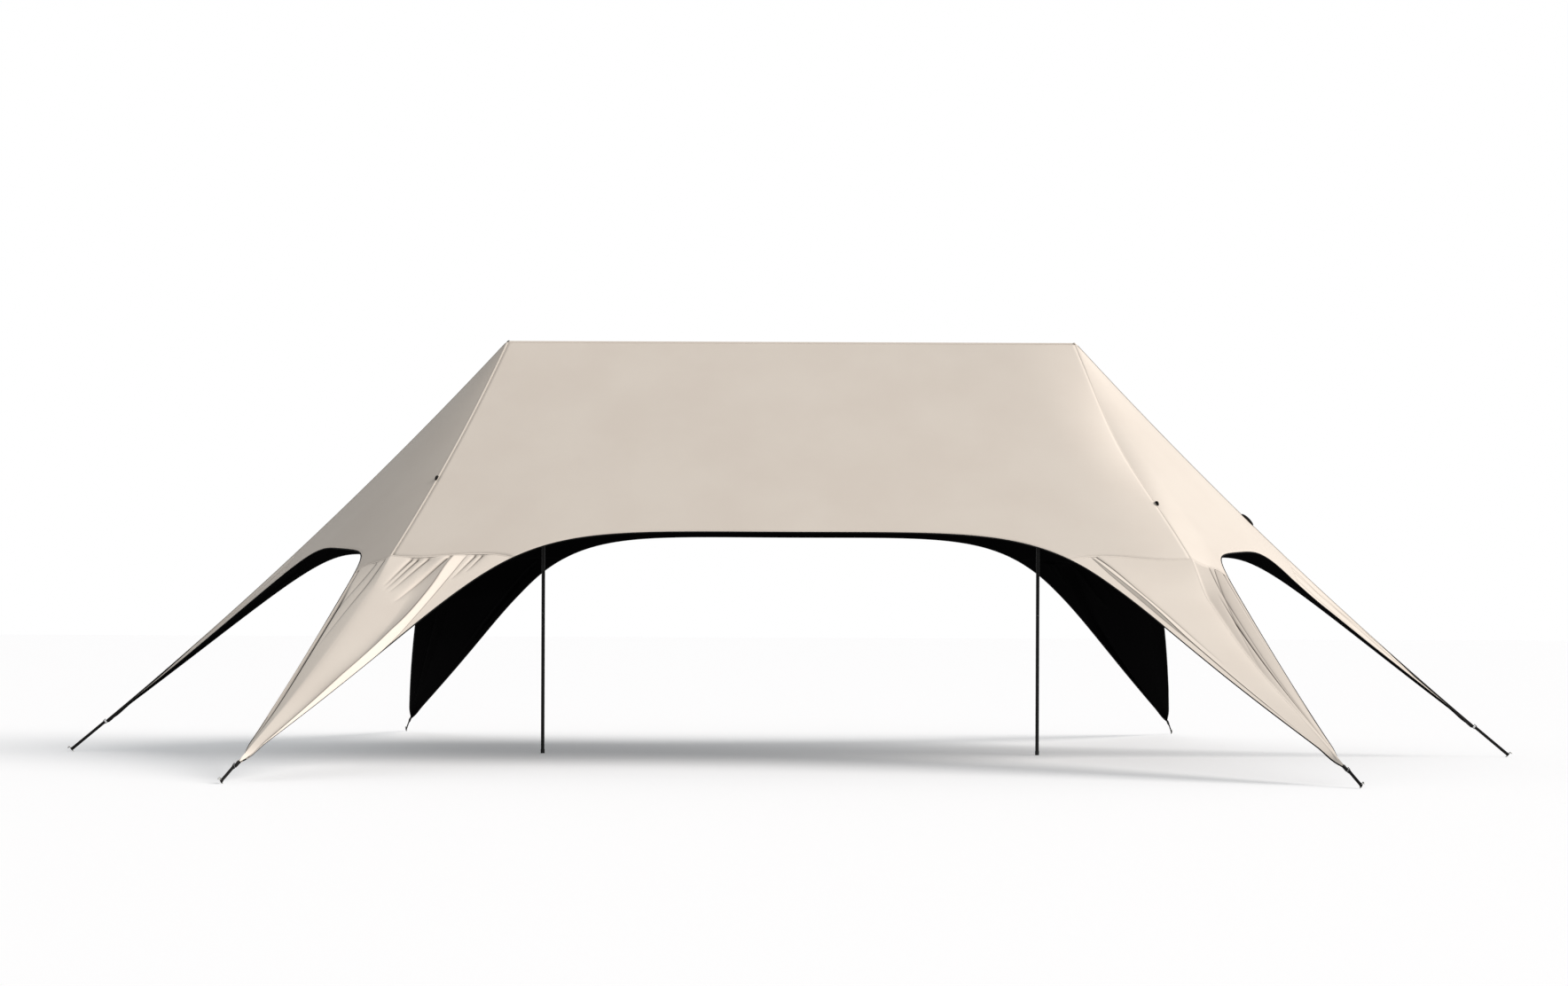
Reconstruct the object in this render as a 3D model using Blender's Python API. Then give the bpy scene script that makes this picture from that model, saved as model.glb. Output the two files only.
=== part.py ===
"""A double-peak camping tarp, pitched.

A straight ridge pole lies on two uprights and carries a star of fabric with six legs. Each leg
is strapped to a steel peg. Metres, +Z up, the ground is z = 0, the ridge runs along X and the
front faces -Y. The fabric's outer face is the surface worked out below; its thickness goes inwards.
"""

import math

import bmesh
import bpy
import numpy as np
from mathutils import Matrix, Vector

# Pitch: the crest of the ridge, its peaks, and the pegs that hold the six legs
RIDGE_HEIGHT = 3.50
PEAK_X = 2.41
UPRIGHT_X = 2.10
CORNER_PEG = (3.89, 3.64)
SIDE_PEG_X = 6.10
STRAP_HEIGHT = 0.020
CORNER_TIP = 0.15
SIDE_TIP = 0.23

# Cut of the canopy: how far the seams over the legs sag, and where each archway's crown lies
# on the way from the ridge to the line between two leg tips. An arch's three shares place the
# handles of its edge beside the crown, out from the middle and up from it.
CORNER_HIP_SAG = 0.19
SIDE_HIP_SAG = 0.08
FRONT_CROWN = 0.475
BACK_CROWN = 0.450
SIDE_CROWN = 0.520
MAIN_ARCH = (0.585, 0.547, 1.11)
ARCH_TO_CORNER = (0.50, 0.12, 1.09)
ARCH_TO_SIDE = (0.33, 0.38, 1.00)
LEG_START = 0.51
LEG_EDGE = 0.24
CORNER_LEG_END = 0.985
SIDE_LEG_END = 0.935

# Fabric: thickness of the solid, the clearance between sewn neighbours, and the grids
FABRIC = 0.004
SEAM_GAP = 0.0003
LEG_COLUMNS = 4
MAIN_COLUMNS = 10
GORE_COLUMNS = 5
PANEL_ROWS = 6
LEG_ROWS = 8

# Poles: steel tube in sections that plug together
POLE_RADIUS = 0.015
POLE_WALL = 0.0015
PIECE_GAP = 0.0003
SPIGOT = 0.060
POLE_SIDES = 16
FOOT_FLOOR = 0.008
FOOT_HEIGHT = 0.035
FOOT_RADIUS = 0.0170
PIN_RADIUS = 0.0045
PIN_LENGTH = 0.020
CROWN_CLEARANCE = 0.0005
RIDGE_END = 2.40
CAP_FLANGE = 0.004

# Corner hardware
STRAP_WIDTH = 0.025
STRAP_PLY = 0.0016
BUCKLE_ACROSS = (-0.018, -0.014, 0.014, 0.018)
BUCKLE_ALONG = (0.0, 0.004, 0.011, 0.015, 0.022, 0.026)
BUCKLE_THICKNESS = 0.004
PEG_RADIUS = 0.005
PEG_SHANK = 0.046
PEG_HOOK = 0.010
PEG_SIDES = 10

UP = np.array([0.0, 0.0, 1.0])


def unit(v):
    """The vectors along the last axis, at length one."""
    return v / np.linalg.norm(v, axis=-1, keepdims=True)


class Corner:
    """A leg's place: its peak, its peg, and the tip where the fabric ends and the strap begins.

    The hip seam runs from the peak to the tip and sags in its own vertical plane.
    """

    def __init__(self, name, side, peg_xy, to_tip, sag, arch, leg_end):
        self.name, self.arch, self.leg_end = name, arch, leg_end
        self.peak = np.array([side * PEAK_X, 0.0, RIDGE_HEIGHT])
        self.peg = np.array([*peg_xy, 0.0])
        self.eye = self.peg + UP * STRAP_HEIGHT
        chord = unit(self.peak - self.eye)
        lift = unit(UP - chord * chord[2])
        self.sag = -sag * lift
        self.along = unit(self.peak - self.eye + 4 * self.sag)
        self.tip = self.eye + self.along * to_tip

    def hip(self, v):
        """Points on the hip seam: the straight line to the tip plus a parabola of sag."""
        v = np.asarray(v, float)[..., None]
        return self.peak + (self.tip - self.peak) * v + 4 * v * (1 - v) * self.sag


def corners():
    """The six legs in order round the tarp, seen from outside from left to right."""
    x, y = CORNER_PEG
    corner = (CORNER_TIP, CORNER_HIP_SAG, ARCH_TO_CORNER, CORNER_LEG_END)
    side = (SIDE_TIP, SIDE_HIP_SAG, ARCH_TO_SIDE, SIDE_LEG_END)
    return [
        Corner("front_left", -1, (-x, -y), *corner),
        Corner("front_right", 1, (x, -y), *corner),
        Corner("right", 1, (SIDE_PEG_X, 0.0), *side),
        Corner("back_right", 1, (x, y), *corner),
        Corner("back_left", -1, (-x, y), *corner),
        Corner("left", -1, (-SIDE_PEG_X, 0.0), *side),
    ]


class Panel:
    """The fabric between two hip seams, above one archway.

    u runs from the left hip to the right one as seen from outside, and v from the peaks down to
    the edge of the archway. Each half of the edge has its handles beside the crown, and out and
    up from the middle of the line between the tips, by shares of the half width and of the rise.
    """

    def __init__(self, name, left, right, crown, columns):
        self.name, self.left, self.right, self.columns = name, left, right, columns
        self.is_gore = np.allclose(left.peak, right.peak)
        self.arches = np.array([left.arch, right.arch] if self.is_gore else [MAIN_ARCH] * 2)
        top = (left.peak + right.peak) / 2
        self.foot = (left.tip + right.tip) / 2
        self.crown = top + crown * (self.foot - top)

    def flat_edge(self, u):
        """The archway's edge before it sags: two cubic curves that meet level at the crown."""
        u = np.asarray(u, float)[..., None]
        t = 1 - np.abs(2 * u - 1)
        tip = np.where(u < 0.5, self.left.tip, self.right.tip)
        half = tip - self.foot
        rise = self.crown - self.foot
        arch = np.where(u < 0.5, *self.arches)
        beside, outer, height = arch[..., 0:1], arch[..., 1:2], arch[..., 2:3]
        leg_handle = self.foot + outer * half + height * rise
        crown_handle = self.crown + beside * half
        return (
            (1 - t) ** 3 * tip
            + 3 * (1 - t) ** 2 * t * leg_handle
            + 3 * (1 - t) * t**2 * crown_handle
            + t**3 * self.crown
        )

    def point(self, u, v):
        """Straight lines from the ridge or peak to the edge, sagging half way down.

        The sag is a parabola of the share of the way down to the tips. It falls off by the
        square of the share of the way across, from each hip to the other.
        """
        u, v = np.broadcast_arrays(np.asarray(u, float), np.asarray(v, float))
        edge = self.flat_edge(u)
        u, v = u[..., None], v[..., None]
        top = self.left.peak + (self.right.peak - self.left.peak) * u
        tips = self.left.tip + (self.right.tip - self.left.tip) * u
        flat = (1 - v) * top + v * edge
        down = (RIDGE_HEIGHT - flat[..., 2:]) / (RIDGE_HEIGHT - tips[..., 2:])
        start = self.left.peak + (self.left.tip - self.left.peak) * down
        span = self.right.peak + (self.right.tip - self.right.peak) * down - start
        width = np.maximum((span * span).sum(-1, keepdims=True), 1e-12)
        across = np.clip(((flat - start) * span).sum(-1, keepdims=True) / width, 0, 1)
        sag = (1 - across) ** 2 * self.left.sag + across**2 * self.right.sag
        return flat + 4 * down * (1 - down) * sag

    def normal(self, u, v):
        """The outward normal, from small steps along u and v."""
        step = 1e-3
        u, v = np.broadcast_arrays(np.asarray(u, float), np.maximum(v, 5 * step))
        u0, u1 = np.clip(u - step, 0, 1), np.clip(u + step, 0, 1)
        v0, v1 = np.clip(v - step, 0, 1), np.clip(v + step, 0, 1)
        across = self.point(u1, v) - self.point(u0, v)
        down = self.point(u, v1) - self.point(u, v0)
        return unit(np.cross(down, across))


def mitre(*normals):
    """The vector that moves every face with these normals in by one thickness."""
    middle = unit(sum(normals))
    reach = np.min([(middle * n).sum(-1) for n in normals], axis=0)
    return middle / reach[..., None] * FABRIC


def drops(panels):
    """Functions for the thickness on each shared line: along the hips, the ridge and at the peaks."""

    def peak(corner):
        touching = [
            p.normal(float(p.right is c), 0.0)
            for p in panels
            for c in (p.left, p.right)
            if np.allclose(c.peak, corner.peak)
        ]
        return mitre(*touching)

    def hip(corner, v):
        before = next(p for p in panels if p.right is corner)
        after = next(p for p in panels if p.left is corner)
        drop = mitre(before.normal(1.0, v), after.normal(0.0, v))
        return np.where(np.asarray(v)[..., None] < 1e-6, peak(corner), drop)

    def ridge(u):
        front, back = [p for p in panels if not p.is_gore]
        return mitre(front.normal(u, 0.0), back.normal(1 - u, 0.0))

    return hip, ridge


def boundary(rows, columns):
    """Row and column of each point round a grid, starting along the first row."""
    top = [(0, c) for c in range(columns)]
    right = [(r, columns - 1) for r in range(1, rows)]
    bottom = [(rows - 1, c) for c in range(columns - 2, -1, -1)]
    left = [(r, 0) for r in range(rows - 2, 0, -1)]
    return np.array(top + right + bottom + left)


def seam_inset(points, thickness, sewn):
    """Half the seam gap, into the piece, at each point of a closed boundary.

    sewn says which of the boundary's edges meet a neighbour; edge k runs from point k to k + 1.
    """
    ahead = np.roll(points, -1, axis=0)
    wall = unit(np.cross(ahead - points, thickness + np.roll(thickness, -1, axis=0)))
    wall = wall * sewn[:, None]
    before = np.roll(wall, 1, axis=0)
    share = 1 + (wall * before).sum(axis=1)
    return (wall + before) / share[:, None] * SEAM_GAP / 2


def cloth(name, outer, thickness, sewn, materials, apex=False):
    """A closed sheet from a grid of outer points and the thickness vector at each.

    With apex the first row is one point, where the sheet comes to a corner. The side walls are
    split from the higher outer point, so that both sides of a seam have the same wall. The first
    material is the outer face's, the second the inner face's.
    """
    rows, columns = outer.shape[:2]
    loop = boundary(rows, columns)
    if apex:
        loop = loop[columns - 1 :]
        sewn = sewn[columns - 1 :]
    at = (loop[:, 0], loop[:, 1])
    inset = np.zeros_like(outer)
    inset[at] = seam_inset(outer[at], thickness[at], sewn)
    if apex:
        inset[0] = inset[0, -1]
    outer = outer + inset
    inner = outer - thickness
    count = rows * columns
    index = np.arange(count).reshape(rows, columns)
    a, b, c, d = index[:-1, :-1], index[1:, :-1], index[1:, 1:], index[:-1, 1:]
    top = np.stack([a, b, c, d], axis=-1).reshape(-1, 4)
    ring = boundary(rows, columns)
    ring = index[ring[:, 0], ring[:, 1]]
    points = np.concatenate([outer.reshape(-1, 3), inner.reshape(-1, 3)])
    faces = top.tolist() + (top[:, ::-1] + count).tolist()
    for here, ahead in zip(ring, np.roll(ring, -1)):
        if points[here, 2] > points[ahead, 2]:
            faces += [(here, ahead, ahead + count), (here, ahead + count, here + count)]
        else:
            faces += [(here, ahead, here + count), (ahead, ahead + count, here + count)]
    mesh = bpy.data.meshes.new(name)
    mesh.from_pydata(points.tolist(), [], faces)
    mesh.polygons.foreach_set("material_index", [int(k >= len(top)) for k in range(len(faces))])
    mesh.materials.append(materials[0])
    return finished(name, mesh, materials[1], turn_out=False)


def finished(name, mesh, material, turn_out=True):
    """Merges doubles, turns the faces outwards where asked and puts the mesh in the scene."""
    shape = bmesh.new()
    shape.from_mesh(mesh)
    bmesh.ops.remove_doubles(shape, verts=shape.verts, dist=1e-6)
    if turn_out:
        bmesh.ops.recalc_face_normals(shape, faces=shape.faces)
    shape.to_mesh(mesh)
    shape.free()
    mesh.shade_smooth()
    mesh.set_sharp_from_angle(angle=math.radians(35))
    mesh.materials.append(material)
    obj = bpy.data.objects.new(name, mesh)
    bpy.context.scene.collection.objects.link(obj)
    return obj


def panel_solid(panel, hip, ridge, materials):
    """The part of a panel above the seams where the legs are sewn on."""
    leg = np.linspace(0, LEG_EDGE, LEG_COLUMNS + 1)
    middle = np.linspace(LEG_EDGE, 1 - LEG_EDGE, panel.columns + 1)[1:-1]
    u = np.concatenate([leg, middle, 1 - leg[::-1]])
    depth = np.minimum(1, LEG_START + (1 - LEG_START) * np.minimum(u, 1 - u) / LEG_EDGE)
    share = np.linspace(0, 1, PANEL_ROWS + 1)[:, None]
    v = share * depth
    u = np.broadcast_to(u, v.shape)
    thickness = panel.normal(u, v) * FABRIC
    if not panel.is_gore:
        thickness[0] = ridge(u[0]) if panel.left.peak[0] < 0 else ridge(1 - u[0])
    thickness[:, 0] = hip(panel.left, v[:, 0])
    thickness[:, -1] = hip(panel.right, v[:, -1])
    if panel.is_gore:
        thickness[0] = thickness[0, 0]
    last = len(u[0]) - 1
    loop = boundary(PANEL_ROWS + 1, last + 1)
    sewn = np.ones(len(loop), bool)
    first_free = last + PANEL_ROWS + LEG_COLUMNS
    sewn[first_free : first_free + panel.columns] = False
    return cloth(panel.name, panel.point(u, v), thickness, sewn, materials, panel.is_gore)


def leg_solid(corner, panels, hip, materials):
    """A leg: a strip of each of the two panels beside its hip, from the cross seam to the tip."""
    before = next(p for p in panels if p.right is corner)
    after = next(p for p in panels if p.left is corner)
    t = np.linspace(0, 1, LEG_COLUMNS + 1)
    s = np.linspace(0, corner.leg_end, LEG_ROWS + 1)[:, None]
    u = t * LEG_EDGE * (1 - s)
    v = (1 - t) * (LEG_START + s * (1 - LEG_START)) + t
    left = before.point(1 - u, v)[:, :0:-1]
    right = after.point(u, v)
    left_thick = before.normal(1 - u, v)[:, :0:-1] * FABRIC
    right_thick = after.normal(u, v) * FABRIC
    right_thick[:, 0] = hip(corner, v[:, 0])
    outer = np.concatenate([left, right], axis=1)
    thickness = np.concatenate([left_thick, right_thick], axis=1)
    sewn = np.zeros(len(boundary(*outer.shape[:2])), bool)
    sewn[: 2 * LEG_COLUMNS] = True
    return cloth(f"{corner.name}_leg", outer, thickness, sewn, materials)


def turned(name, profile, material, place):
    """A body turned round Z from (radius, height) points.

    The points run down the outside; they close into a ring, or end on the axis at both ends.
    """
    mesh = bpy.data.meshes.new(name)
    closed = profile[0][0] > 0
    count = len(profile)
    edges = [(k, (k + 1) % count) for k in range(count if closed else count - 1)]
    mesh.from_pydata([(r, 0, z) for r, z in profile], edges, [])
    mesh.materials.append(material)
    obj = bpy.data.objects.new(name, mesh)
    bpy.context.scene.collection.objects.link(obj)
    turn = obj.modifiers.new("turn", "SCREW")
    turn.steps = turn.render_steps = POLE_SIDES
    turn.use_merge_vertices = True
    turn.merge_threshold = 1e-5
    turn.use_smooth_shade = True
    obj.matrix_world = place
    return obj


BORE = POLE_RADIUS - POLE_WALL
PLUG = BORE - PIECE_GAP


def plug_section(low, high):
    """A tube from low to high whose upper end is drawn in to plug into the next one."""
    neck = PLUG - POLE_WALL
    return [
        (PLUG, high + SPIGOT),
        (PLUG, high),
        (POLE_RADIUS, high),
        (POLE_RADIUS, low),
        (BORE, low),
        (BORE, high - SPIGOT / 4),
        (neck, high),
        (neck, high + SPIGOT),
    ]


def plain_section(low, high):
    """A plain tube from low to high."""
    return [(POLE_RADIUS, high), (POLE_RADIUS, low), (BORE, low), (BORE, high)]


def pinned_section(low, high):
    """A tube closed at its top, with the pin that enters the ridge pole."""
    plug_depth = 2 * POLE_RADIUS
    return [
        (0, high + PIN_LENGTH),
        (PIN_RADIUS, high + PIN_LENGTH),
        (PIN_RADIUS, high),
        (POLE_RADIUS, high),
        (POLE_RADIUS, low),
        (BORE, low),
        (BORE, high - plug_depth),
        (0, high - plug_depth),
    ]


def uprights(steel, rubber, axis_height):
    """Two uprights of three sections, each in a rubber foot."""
    top = axis_height - POLE_RADIUS - PIECE_GAP
    low = FOOT_FLOOR + PIECE_GAP
    third = (top - low) / 3
    socket = POLE_RADIUS + PIECE_GAP
    foot = [
        (0, FOOT_FLOOR),
        (socket, FOOT_FLOOR),
        (socket, FOOT_HEIGHT),
        (FOOT_RADIUS, FOOT_HEIGHT),
        (FOOT_RADIUS, 0.003),
        (FOOT_RADIUS - 0.003, 0),
        (0, 0),
    ]
    for side, x in (("left", -UPRIGHT_X), ("right", UPRIGHT_X)):
        place = Matrix.Translation((x, 0, 0))
        joint1, joint2 = low + third, low + 2 * third
        turned(f"{side}_foot", foot, rubber, place)
        turned(f"{side}_upright_lower", plug_section(low, joint1), steel, place)
        turned(f"{side}_upright_middle", plug_section(joint1 + PIECE_GAP, joint2), steel, place)
        turned(f"{side}_upright_upper", pinned_section(joint2 + PIECE_GAP, top), steel, place)


def ridge_pole(steel, plastic, axis_height):
    """Three sections end to end along X, with holes for the uprights' pins and a cap at each end."""
    lie_down = Matrix.Translation((0, 0, axis_height)) @ Matrix.Rotation(math.pi / 2, 4, "Y")
    end = RIDGE_END - CAP_FLANGE
    third = end / 3
    left = turned("ridge_pole_left", plug_section(-end, -third), steel, lie_down)
    turned("ridge_pole_middle", plug_section(-third + PIECE_GAP, third), steel, lie_down)
    right = turned("ridge_pole_right", plain_section(third + PIECE_GAP, end), steel, lie_down)
    for tube, x in ((left, -UPRIGHT_X), (right, UPRIGHT_X)):
        bore(tube, (x, 0, axis_height - POLE_RADIUS), PIN_RADIUS + PIECE_GAP)
    inside = 0.025
    cap = [
        (0, CAP_FLANGE + PIECE_GAP),
        (POLE_RADIUS - 0.002, CAP_FLANGE + PIECE_GAP),
        (POLE_RADIUS, CAP_FLANGE - 0.001),
        (POLE_RADIUS, PIECE_GAP),
        (PLUG, PIECE_GAP),
        (PLUG, -inside),
        (0, -inside),
    ]
    for side, sign in (("left", -1), ("right", 1)):
        turn = Matrix.Rotation(sign * math.pi / 2, 4, "Y")
        place = Matrix.Translation((sign * end, 0, axis_height)) @ turn
        turned(f"ridge_cap_{side}", cap, plastic, place)


def bore(tube, centre, radius):
    """Cuts an upright hole through the lower wall of a lying tube."""
    name = f"{tube.name}_hole"
    mesh = bpy.data.meshes.new(name)
    shape = bmesh.new()
    bmesh.ops.create_cone(
        shape,
        cap_ends=True,
        segments=12,
        radius1=radius,
        radius2=radius,
        depth=4 * POLE_WALL + radius,
        matrix=Matrix.Translation(centre),
    )
    shape.to_mesh(mesh)
    shape.free()
    cutter = bpy.data.objects.new(name, mesh)
    cutter.hide_render = True
    cutter.display_type = "WIRE"
    bpy.context.scene.collection.objects.link(cutter)
    cut = tube.modifiers.new("hole", "BOOLEAN")
    cut.operation = "DIFFERENCE"
    cut.object = cutter


def corner_frame(corner):
    """Axes at a peg's eye: X up along the strap, Z along the peg, Y level across."""
    x = Vector(corner.along)
    y = Vector(UP).cross(x).normalized()
    z = x.cross(y)
    frame = Matrix((x, y, z)).transposed().to_4x4()
    return Matrix.Translation(corner.eye) @ frame


def strap_loop(length, bar_radius):
    """Inner and outer outline of a webbing loop round the peg at 0 and a bar at length.

    Between the two eyes the plies lie against each other.
    """
    opening = math.radians(50)
    rest = STRAP_PLY * 0.15
    outlines = []
    for ply in (0.0, STRAP_PLY):
        peg = PEG_RADIUS + PIECE_GAP + ply
        bar = bar_radius + PIECE_GAP + ply
        turn = np.linspace(opening, 2 * math.pi - opening, 8)
        eye = np.stack([peg * np.cos(turn), peg * np.sin(turn)], axis=1)
        far = np.stack([length - bar * np.cos(turn), -bar * np.sin(turn)], axis=1)
        close = 4 * (PEG_RADIUS + PIECE_GAP)
        below = [(close, -rest - ply), (length - close, -rest - ply)]
        above = [(length - close, rest + ply), (close, rest + ply)]
        outlines.append(np.concatenate([eye, below, far, above]))
    return outlines


def strap(corner, length, bar_radius, material):
    """A closed band of webbing, standing on edge between the peg and the buckle's bar."""
    inner, outer = strap_loop(length, bar_radius)
    half = STRAP_WIDTH / 2
    count = len(inner)
    points = [(*p, z) for z in (-half, half) for line in (inner, outer) for p in line]
    faces = []
    for k in range(count):
        n = (k + 1) % count
        low_in, low_out, high_in, high_out = 0, count, 2 * count, 3 * count
        for a, b in ((low_in, low_out), (low_out, high_out), (high_out, high_in), (high_in, low_in)):
            faces.append((a + k, a + n, b + n, b + k))
    mesh = bpy.data.meshes.new(f"{corner.name}_strap")
    mesh.from_pydata(points, [], faces)
    obj = finished(f"{corner.name}_strap", mesh, material)
    obj.matrix_world = corner_frame(corner)


def buckle(corner, start, material):
    """A flat frame with two slots, standing on edge between the strap and the end of the leg."""
    name = f"{corner.name}_buckle"
    slots = ((1, 1), (1, 3))
    columns = len(BUCKLE_ACROSS)
    points = [(start + x, 0, z) for x in BUCKLE_ALONG for z in BUCKLE_ACROSS]
    faces = []
    for row in range(len(BUCKLE_ALONG) - 1):
        for column in range(columns - 1):
            if (column, row) not in slots:
                a = row * columns + column
                faces.append((a, a + 1, a + columns + 1, a + columns))
    mesh = bpy.data.meshes.new(name)
    mesh.from_pydata(points, [], faces)
    obj = finished(name, mesh, material)
    thick = obj.modifiers.new("thickness", "SOLIDIFY")
    thick.thickness = BUCKLE_THICKNESS
    thick.offset = 0
    obj.matrix_world = corner_frame(corner)


def peg(corner, material):
    """A round steel peg leaning away from its strap, cut level at the ground, with a hooked head."""
    frame = corner_frame(corner)
    axis = np.array(frame.to_3x3().col[2])
    away = -np.array(frame.to_3x3().col[0])
    sideways = np.array(frame.to_3x3().col[1])
    start = corner.eye - axis * STRAP_HEIGHT / axis[2]
    straight = start + axis * PEG_SHANK
    bend = np.radians(np.linspace(0, 150, 6))[:, None]
    centre = straight + away * PEG_HOOK
    hook = centre - away * PEG_HOOK * np.cos(bend) + axis * PEG_HOOK * np.sin(bend)
    path = np.concatenate([[start], hook])
    along = np.concatenate([[axis], away * np.sin(bend) + axis * np.cos(bend)])
    out = np.cross(sideways, along)
    turn = np.linspace(0, 2 * math.pi, PEG_SIDES, endpoint=False)[None, :, None]
    rings = path[:, None] + PEG_RADIUS * (
        np.cos(turn) * sideways + np.sin(turn) * out[:, None]
    )
    rings[0] -= axis * (rings[0][:, 2:] / axis[2])
    rows, sides = rings.shape[:2]
    index = np.arange(rows * sides).reshape(rows, sides)
    a, b = index[:-1], index[1:]
    wall = np.stack([a, np.roll(a, -1, 1), np.roll(b, -1, 1), b], axis=-1).reshape(-1, 4)
    faces = [*wall.tolist(), index[0].tolist(), index[-1].tolist()]
    mesh = bpy.data.meshes.new(f"{corner.name}_peg")
    mesh.from_pydata(rings.reshape(-1, 3).tolist(), [], faces)
    finished(f"{corner.name}_peg", mesh, material)


def finish(name, colour, roughness, metallic=0.0):
    """A plain surface finish."""
    material = bpy.data.materials.new(name)
    material.use_nodes = True
    surface = material.node_tree.nodes["Principled BSDF"]
    surface.inputs["Base Color"].default_value = (*colour, 1)
    surface.inputs["Roughness"].default_value = roughness
    surface.inputs["Metallic"].default_value = metallic
    material.diffuse_color = (*colour, 1)
    return material


def main():
    for obj in list(bpy.data.objects):
        bpy.data.objects.remove(obj)
    fabric = (
        finish("beige_fabric", (0.66, 0.60, 0.53), 0.75),
        finish("black_coating", (0.010, 0.009, 0.010), 0.80),
    )
    steel = finish("black_steel", (0.012, 0.011, 0.010), 0.35, 0.6)
    bare_steel = finish("bare_steel", (0.45, 0.45, 0.44), 0.35, 1.0)
    plastic = finish("black_plastic", (0.015, 0.015, 0.015), 0.5)
    rubber = finish("black_rubber", (0.012, 0.012, 0.012), 0.9)
    webbing = finish("black_webbing", (0.010, 0.010, 0.010), 0.85)

    legs = corners()
    cuts = [
        ("front_panel", FRONT_CROWN, MAIN_COLUMNS),
        ("right_front_gore", SIDE_CROWN, GORE_COLUMNS),
        ("right_back_gore", SIDE_CROWN, GORE_COLUMNS),
        ("back_panel", BACK_CROWN, MAIN_COLUMNS),
        ("left_back_gore", SIDE_CROWN, GORE_COLUMNS),
        ("left_front_gore", SIDE_CROWN, GORE_COLUMNS),
    ]
    panels = [
        Panel(name, legs[k], legs[(k + 1) % 6], *cut) for k, (name, *cut) in enumerate(cuts)
    ]
    hip, ridge = drops(panels)
    for panel in panels:
        panel_solid(panel, hip, ridge, fabric)
    for corner in legs:
        leg_solid(corner, panels, hip, fabric)

    along_ridge = np.linspace(0, 1, MAIN_COLUMNS + 1)
    front, back = (panels[k].normal(along_ridge, 0.0)[:, 2] for k in (0, 3))
    slope = np.minimum(front, back[::-1])
    crease = ridge(along_ridge)[:, 2]
    crease[[0, -1]] = hip(legs[0], 0.0)[2]
    axis_height = RIDGE_HEIGHT - np.max(crease + (POLE_RADIUS + CROWN_CLEARANCE) / slope)
    uprights(steel, rubber, axis_height)
    ridge_pole(steel, plastic, axis_height)

    bar = BUCKLE_ALONG[1] / 2
    bar_reach = math.hypot(bar, BUCKLE_THICKNESS / 2)
    for corner in legs:
        leg_end = corner.hip(LEG_START + corner.leg_end * (1 - LEG_START))
        start = np.linalg.norm(leg_end - corner.eye) - BUCKLE_ALONG[-1] - PIECE_GAP
        strap(corner, start + bar, bar_reach, webbing)
        buckle(corner, start, plastic)
        peg(corner, bare_steel)


main()
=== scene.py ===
"""The looks of a double-peak camping tarp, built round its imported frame.

Metres, +Z up, the ground is z = 0, the ridge runs along X and the front faces -Y.
"""

import math

import bpy
import numpy as np
from mathutils import Matrix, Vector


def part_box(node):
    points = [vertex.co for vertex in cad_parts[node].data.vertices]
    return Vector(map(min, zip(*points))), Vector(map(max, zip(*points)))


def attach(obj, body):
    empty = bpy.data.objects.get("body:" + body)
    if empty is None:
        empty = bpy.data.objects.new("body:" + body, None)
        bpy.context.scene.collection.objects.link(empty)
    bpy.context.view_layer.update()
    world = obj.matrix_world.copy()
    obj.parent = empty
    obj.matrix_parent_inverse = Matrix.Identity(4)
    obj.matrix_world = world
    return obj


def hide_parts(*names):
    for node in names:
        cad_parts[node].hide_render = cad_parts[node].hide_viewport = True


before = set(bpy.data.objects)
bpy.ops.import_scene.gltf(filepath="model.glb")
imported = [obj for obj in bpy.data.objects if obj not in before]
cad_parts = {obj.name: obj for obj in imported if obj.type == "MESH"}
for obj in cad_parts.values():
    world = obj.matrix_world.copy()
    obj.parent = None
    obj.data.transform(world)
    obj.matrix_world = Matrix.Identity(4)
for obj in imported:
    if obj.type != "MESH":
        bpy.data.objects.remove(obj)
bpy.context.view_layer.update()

# UPRIGHTS: two poles of three steel tubes, 30 mm across and powder coated black. Each tube's drawn-in
# end plugs into the next and is held by a spring button. The pole stands in a moulded rubber foot.
TUBE = 0.015
UPRIGHT_X = 2.10
BELOW_RIDGE = 0.0004
BUTTON_ABOVE_JOINT = 0.030
FOOT = 0.0170
ROUND = 48


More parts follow.
